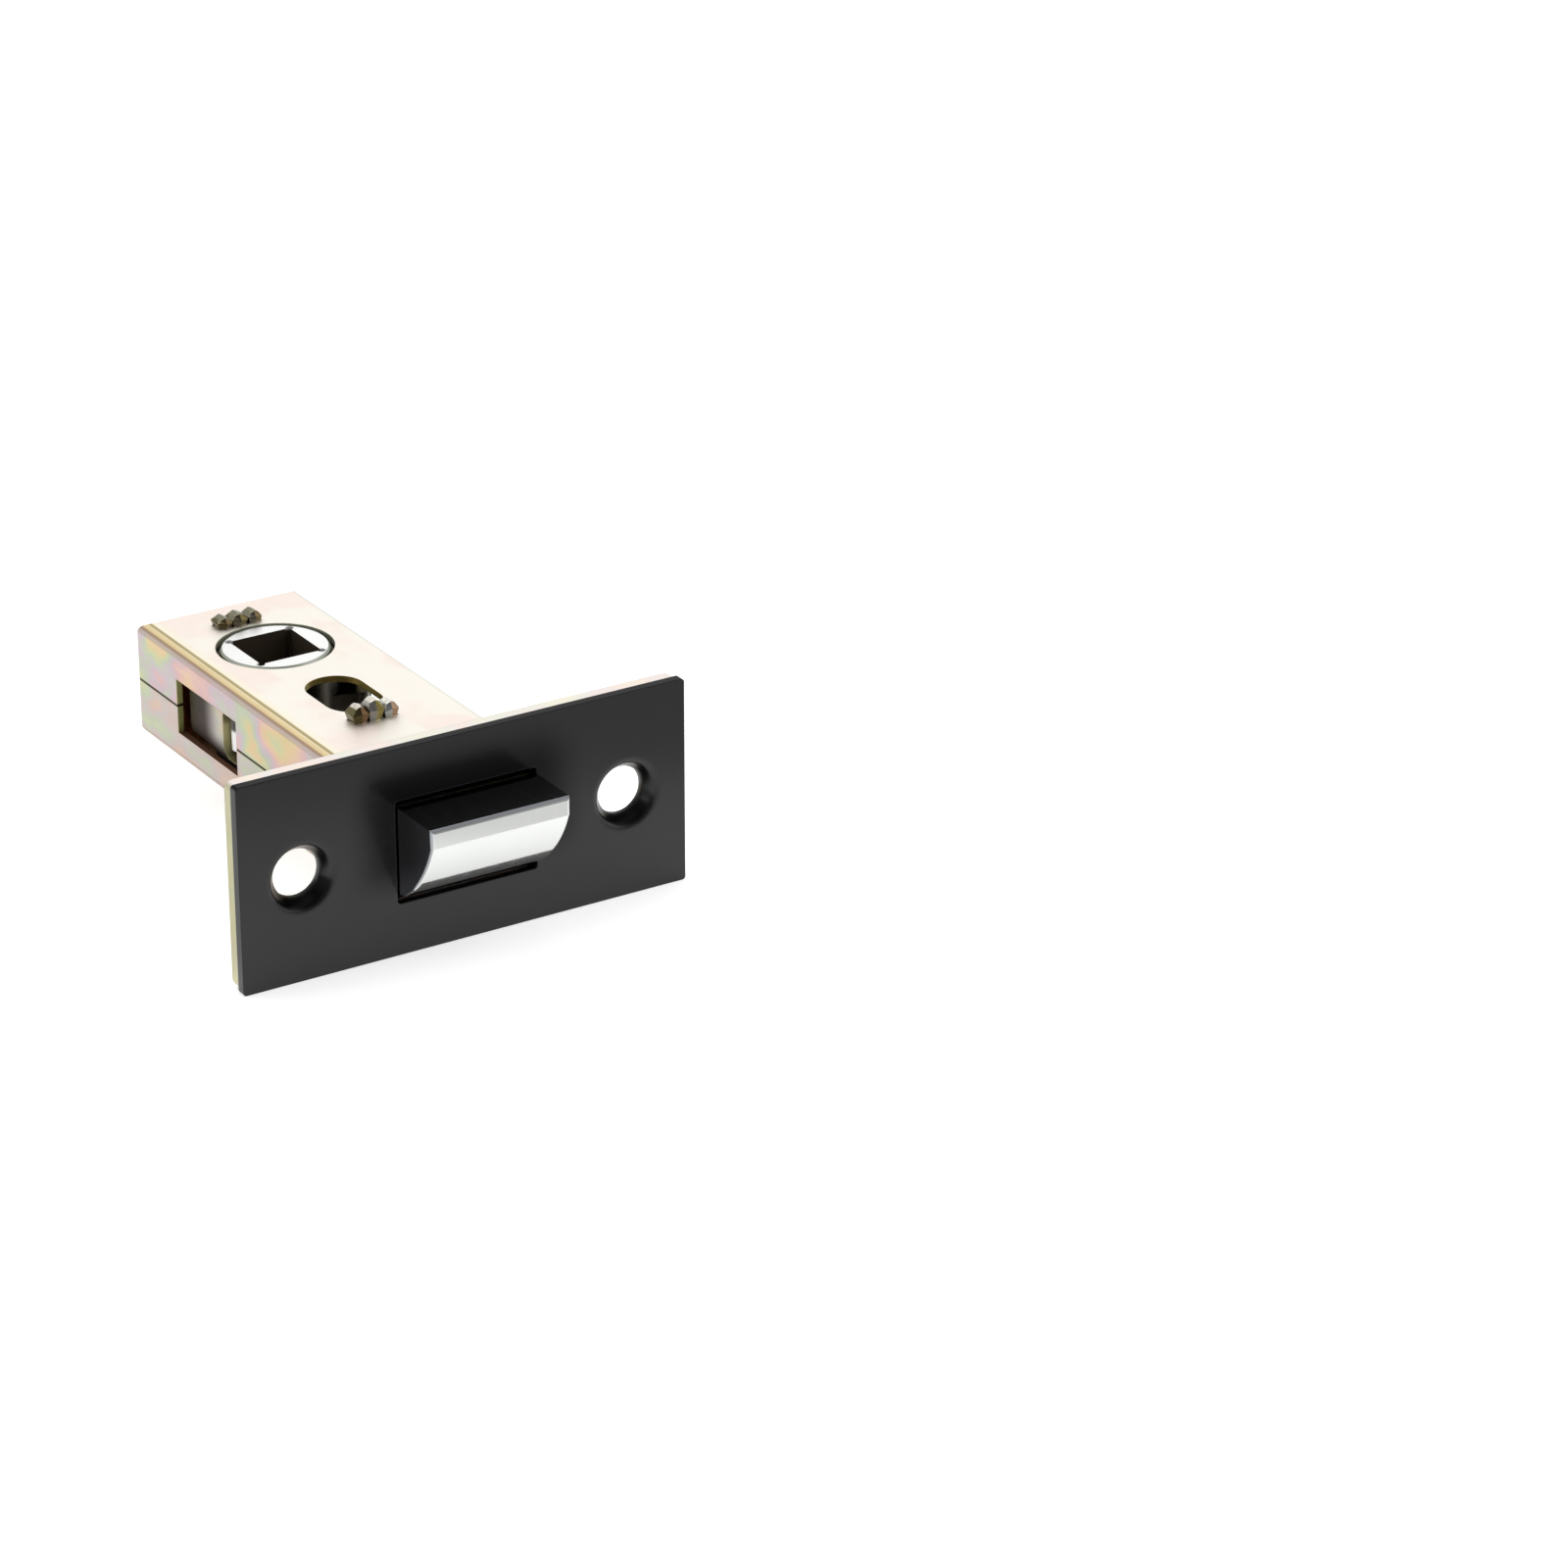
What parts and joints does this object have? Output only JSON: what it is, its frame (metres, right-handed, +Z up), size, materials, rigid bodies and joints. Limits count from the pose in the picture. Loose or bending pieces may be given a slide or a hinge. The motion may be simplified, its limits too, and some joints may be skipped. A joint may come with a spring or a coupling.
{
  "type": "tubular door latch",
  "caption": "Tubular mortice door latch: a sprung bevelled bolt behind a screw-fixed face plate, drawn back by a square-holed hub inside a pressed steel case.",
  "frame": {"origin": "centre of the face plate's front face, on the bolt's axis", "axes": "+X along the face plate's length, +Y back into the door (the bolt points along -Y), +Z up along the spindle, away from the bolt's bevel"},
  "size_m": [0.057, 0.0677, 0.025],
  "materials": {
    "black_powder_coat": "satin black powder coat",
    "plate_zinc": "yellow passivated zinc plate on steel",
    "case_zinc": "iridescent yellow passivated zinc plate on pressed steel",
    "bar_zinc": "yellow passivated zinc plate, worn by staking",
    "spring_steel": "drawn spring wire",
    "bolt_chrome": "polished chrome plate",
    "yoke_zinc": "iridescent yellow passivated zinc plate on steel strap",
    "hub_zinc": "bright zinc die casting"
  },
  "bodies": {
    "case": {"face_plate": "black_powder_coat", "inner_face_plate": "plate_zinc", "upper_case_half": "case_zinc", "lower_case_half": "case_zinc", "front_cross_bar": "bar_zinc", "rear_cross_bar": "bar_zinc", "bolt_spring": "spring_steel"},
    "bolt": {"latch_bolt": "bolt_chrome", "retractor_yoke": "yoke_zinc"},
    "hub": {"hub": "hub_zinc"}
  },
  "joints": [
    {"name": "hub_turn", "type": "hinge", "parent": "case", "child": "hub", "pos_m": [0, 0.045, 0], "axis": [0, 0, -1], "range_deg": [0, 48]},
    {"name": "bolt_slide", "type": "slide", "parent": "case", "child": "bolt", "axis": [0, 1, 0], "range_m": [0, 0.0078], "stiffness_N_per_m": 400, "springref_m": -0.012, "deforming": ["bolt_spring"]}
  ],
  "couplings": [
    {"joint": "hub_turn", "follows": "bolt_slide", "rad_per_m": 107.4}
  ]
}
